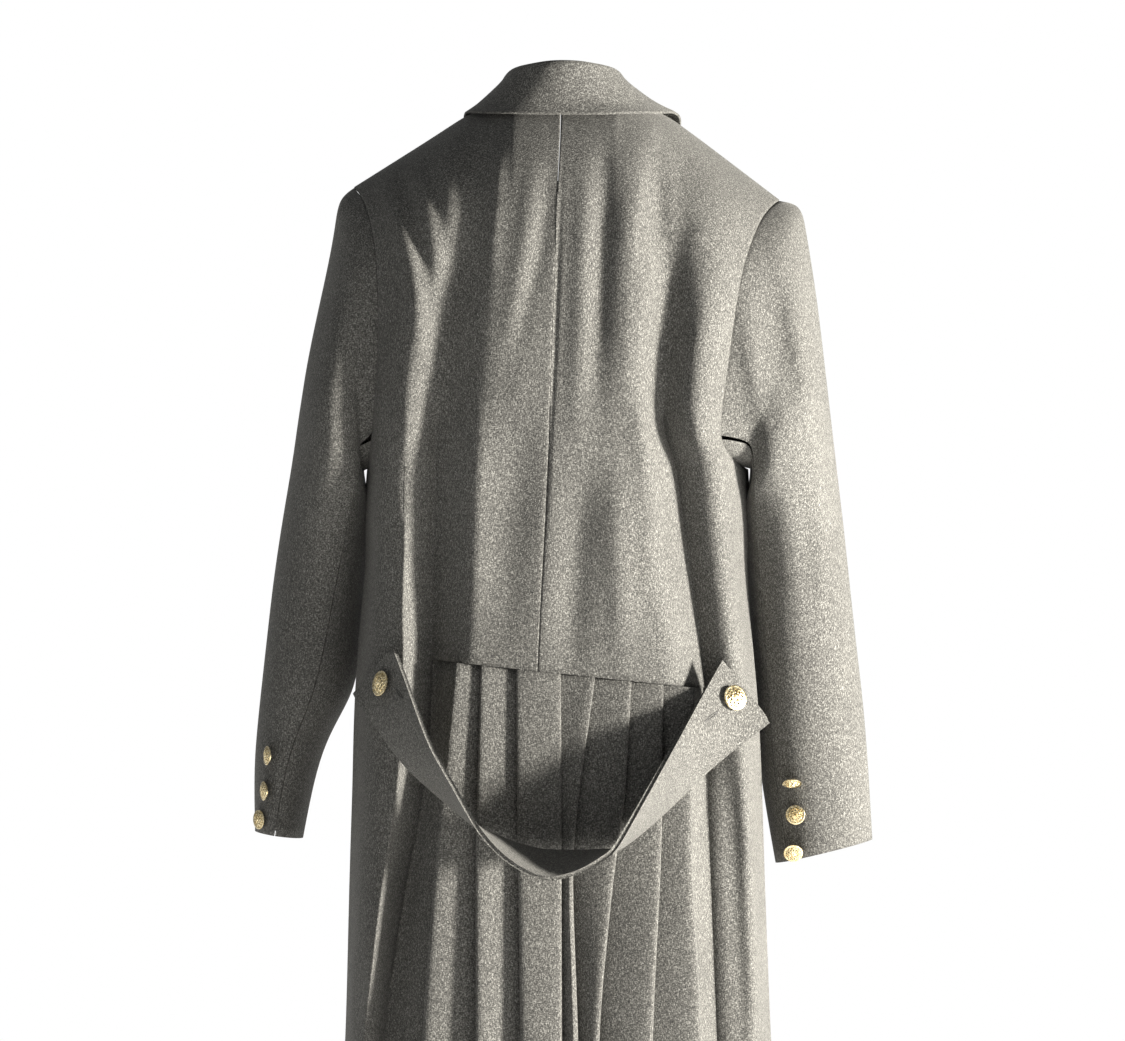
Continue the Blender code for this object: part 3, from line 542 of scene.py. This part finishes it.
made = {}
for name, panel in panels.items():
    piece = clothFrom(name, panel["node"], panel["levels"], splitEdge if name == "halfBelt" else None)
    if panel["folds"]:
        bendCloth(piece, panel["folds"], cloth)
    if name.endswith(("Left", "Right")):
        closeUnderarm(piece, underarm)
    finishCloth(piece, panel["node"])
    made[name] = piece
print("cloth made:", len(panels), "pieces")


buttonhole = {
    # two ends (x, z) of each slit in metres, on the belt beside its button
    "slits": [((0.1436, -0.5899), (0.1332, -0.5975)), ((-0.1584, -0.5691), (-0.1531, -0.5758))],
    "half": 0.0011,  # half width of the stitched slit
    "thick": 0.34,  # the stitching, in parts of the half width
    "proud": 0.1,  # how far it stands out, in parts of the half width
    "around": 28,
    "across": 8,
}


def onCloth(tree, spot):
    # point and way out of the cloth behind a spot of the back view
    place, way, _, _ = tree.ray_cast(Vector((spot[0], -1.0, spot[1])), Vector((0, 1, 0)))
    return place, way


def makeSlits(look, belt):
    tree = BVHTree.FromObject(belt, bpy.context.evaluated_depsgraph_get())
    rings = []
    for first, last in look["slits"]:
        a, way = onCloth(tree, first)
        b, _ = onCloth(tree, last)
        bpy.ops.object.select_all(action="DESELECT")
        bpy.ops.mesh.primitive_torus_add(major_radius=1.0, minor_radius=look["thick"],
                                         major_segments=look["around"], minor_segments=look["across"],
                                         location=(0, 0, 0))
        ring = bpy.context.object
        length = (b - a).length / 2
        along = (b - a).normalized()
        turn = Matrix((along, way.cross(along), way)).transposed().to_4x4()
        ring.data.transform(Matrix.Translation((a + b) / 2 + way * look["half"] * look["proud"]) @ turn
                            @ Matrix.Diagonal((length, look["half"], look["half"], 1)))
        ring.data.materials.append(thread)
        rings.append(ring)
    selectOnly(*rings)
    bpy.ops.object.join()
    slits = bpy.context.object
    slits.name = "buttonholes"
    bpy.ops.object.shade_smooth_by_angle(angle=cloth["smooth"])
    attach(slits, "root")


makeSlits(buttonhole, made["halfBelt"])
print("buttonholes made")


button = {
    # lengths are in parts of the button's radius, but for the wire's, which are in metres
    "sides": 48,
    "plate": 0.82,
    "plateThick": 0.10,
    # the rim's and then the dome's steps: widening, rise
    "steps": [(1.0 / 0.82, 0.03), (1.0, 0.06), (0.95, 0.03), (0.90, 0.0), (0.90 / 0.95, -0.05),
              (0.8, 0.045), (0.75, 0.04), (0.66, 0.03), (0.5, 0.015)],
    "domeFoot": 0.13,
    "domeRise": 0.20,
    "domeWide": 0.88,
    "paintedShadeGround": (0.86, 0.09),  # inside this reach and above this height the ground under the lattice gets the painted shade
    # rings of the lattice: how many, how far out, radius, thickness, steps round
    "lattice": [(10, 0.46, 0.40, 0.034, 26), (20, 0.73, 0.095, 0.026, 12), (9, 0.30, 0.085, 0.026, 12),
                (14, 0.555, 0.07, 0.024, 10)],
    "latticeClear": 0.035,
    # round the middle: radius, thickness, steps round, height over the dome
    "circles": [(0.93, 0.055, 48, 0.02), (0.40, 0.030, 32, 0.05), (0.64, 0.026, 40, 0.05),
                (0.10, 0.07, 16, 0.05)],
    "shank": (0.15, 0.34, -0.10),  # radius, length, height of its middle
    "smooth": math.radians(40),
    "wireFrom": 0.45,  # a shank longer than this shows its two wires
    "wire": 0.00055,
    "wireApart": 0.0013,
    "wireBow": 0.55,
    "wireSteps": 6,
}


def domeHeight(look, reach):
    return look["domeFoot"] + look["domeRise"] * (1 - np.clip(reach / look["domeWide"], 0, 1) ** 2)


def makeBody(look):
    # plate, rim and low dome of radius 1, with the plate's underside at height 0
    bpy.ops.mesh.primitive_cylinder_add(vertices=look["sides"], radius=look["plate"],
                                        depth=look["plateThick"], location=(0, 0, look["plateThick"] / 2))
    body = bpy.context.object
    bpy.ops.object.transform_apply(location=True, rotation=True, scale=True)
    selectOnly(body)
    bpy.ops.object.mode_set(mode="EDIT")
    bpy.ops.mesh.select_all(action="DESELECT")
    shape = bmesh.from_edit_mesh(body.data)
    for face in shape.faces:
        face.select_set(face.normal.z > 0.9)
    bmesh.update_edit_mesh(body.data)
    for scale, rise in look["steps"]:
        bpy.ops.mesh.extrude_region_move(TRANSFORM_OT_translate={"value": (0, 0, rise)})
        bpy.ops.transform.resize(value=(scale, scale, 1))
    bpy.ops.object.mode_set(mode="OBJECT")
    body.data.materials.append(brass)
    # second material: the dark brass of painted shade for the ground under the lattice
    body.data.materials.append(recess)
    reach, height = look["paintedShadeGround"]
    for face in body.data.polygons:
        middle = face.center
        face.material_index = 1 if math.hypot(middle.x, middle.y) < reach and middle.z > height else 0
    return body


def makeRing(look, radius, thick, middle, around, across, clear):
    # a ring of wire that lies on the dome
    bpy.ops.mesh.primitive_torus_add(major_radius=radius, minor_radius=thick, major_segments=around,
                                     minor_segments=across, location=(middle[0], middle[1], 0))
    ring = bpy.context.object
    bpy.ops.object.transform_apply(location=True, rotation=True, scale=True)
    for vertex in ring.data.vertices:
        vertex.co.z += float(domeHeight(look, math.hypot(vertex.co.x, vertex.co.y))) + clear
    ring.data.materials.append(brass)
    return ring


def makeShank(look):
    radius, length, height = look["shank"]
    bpy.ops.mesh.primitive_cylinder_add(vertices=16, radius=radius, depth=length, location=(0, 0, height))
    shank = bpy.context.object
    bpy.ops.object.transform_apply(location=True, rotation=True, scale=True)
    shank.data.materials.append(brass)
    return shank


def makeButton(look):
    parts = [makeBody(look)]
    for count, reach, radius, thick, around in look["lattice"]:
        for n in range(count):
            turn = 2 * math.pi * (n + reach) / count
            middle = (reach * math.cos(turn), reach * math.sin(turn))
            parts.append(makeRing(look, radius, thick, middle, around, 5, look["latticeClear"]))
    for radius, thick, around, clear in look["circles"]:
        parts.append(makeRing(look, radius, thick, (0, 0), around, 6, clear))
    parts.append(makeShank(look))
    selectOnly(*parts)
    bpy.ops.object.join()
    whole = bpy.context.object
    bpy.ops.object.shade_smooth_by_angle(angle=look["smooth"])
    return whole


def poseOf(node):
    # from a button's solid: middle of the plate's flat underside, way that it faces, radius, shank's root
    mesh = node.data
    under = -0.0005  # what lies lower than this belongs to the shank
    tip = 0.0006  # length of the shank's end that is taken as its root
    sides = {}
    for face in mesh.polygons:
        key = tuple(round(v, 2) + 0.0 for v in face.normal)
        area, middle = sides.get(key, (0.0, Vector((0, 0, 0))))
        sides[key] = (area + face.area, middle + face.center * face.area)
    key = max(sides, key=lambda k: sides[k][0])
    area, middle = sides[key]
    centre, way = middle / area, -Vector(key).normalized()
    radius = max((v.co - centre - way * (v.co - centre).dot(way)).length for v in mesh.vertices
                 if (v.co - centre).dot(way) > under)
    behind = [v.co for v in mesh.vertices if (v.co - centre).dot(way) < under]
    far = max((co - centre).length for co in behind)
    last = [co for co in behind if (co - centre).length > far - tip]
    return centre, way, radius, sum(last, Vector()) / len(last)


def makeWire(look, centre, way, root):
    # the shank's two wires, bowed from under the plate to the cloth
    aside = way.cross(root - centre).normalized() * look["wireApart"]
    bow = centre - way * (root - centre).length * look["wireBow"]
    legs = []
    for side in (-1, 1):
        places = [(centre + aside * side) * (1 - t) ** 2 + (bow + aside * side) * 2 * t * (1 - t)
                  + (root + aside * side * 0.5) * t ** 2
                  for t in np.linspace(0, 1, look["wireSteps"] + 1)]
        bpy.ops.object.select_all(action="DESELECT")
        first = (places[1] - places[0]).to_track_quat("Z", "Y").to_euler()
        bpy.ops.mesh.primitive_circle_add(vertices=8, radius=look["wire"], fill_type="NGON",
                                          location=places[0], rotation=first)
        leg = bpy.context.object
        bpy.ops.object.transform_apply(location=True, rotation=True, scale=True)
        bpy.ops.object.mode_set(mode="EDIT")
        bpy.ops.mesh.select_all(action="SELECT")
        for a, b in zip(places, places[1:]):
            bpy.ops.mesh.extrude_region_move(TRANSFORM_OT_translate={"value": b - a})
        bpy.ops.mesh.select_all(action="SELECT")
        bpy.ops.mesh.normals_make_consistent(inside=False)
        bpy.ops.object.mode_set(mode="OBJECT")
        leg.data.materials.append(brass)
        legs.append(leg)
    return legs


def placeButton(master, name, node, look):
    centre, way, radius, root = poseOf(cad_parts[node])
    piece = bpy.data.objects.new(name, master.data.copy())
    bpy.context.scene.collection.objects.link(piece)
    turn = way.to_track_quat("Z", "Y").to_matrix().to_4x4()
    piece.data.transform(Matrix.Translation(centre) @ turn @ Matrix.Diagonal((radius, radius, radius, 1)))
    if (root - centre).length > radius * look["wireFrom"]:
        selectOnly(piece, *makeWire(look, centre, way, root))
        bpy.ops.object.join()
    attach(piece, "root")
    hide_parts(node)


buttonPieces = {
    "beltButtonLeft": "belt_button_left", "beltButtonRight": "belt_button_right",
    "cuffButtonLeft1": "cuff_button_left_1", "cuffButtonLeft2": "cuff_button_left_2",
    "cuffButtonLeft3": "cuff_button_left_3", "cuffButtonRight1": "cuff_button_right_1",
    "cuffButtonRight2": "cuff_button_right_2", "cuffButtonRight3": "cuff_button_right_3",
    "frontButton1": "front_button_1", "frontButton2": "front_button_2", "frontButton3": "front_button_3",
    "frontButton4": "front_button_4", "frontButton5": "front_button_5",
}
master = makeButton(button)
for name, node in buttonPieces.items():
    placeButton(master, name, node, button)
bpy.data.objects.remove(master)
print("buttons made:", len(buttonPieces))
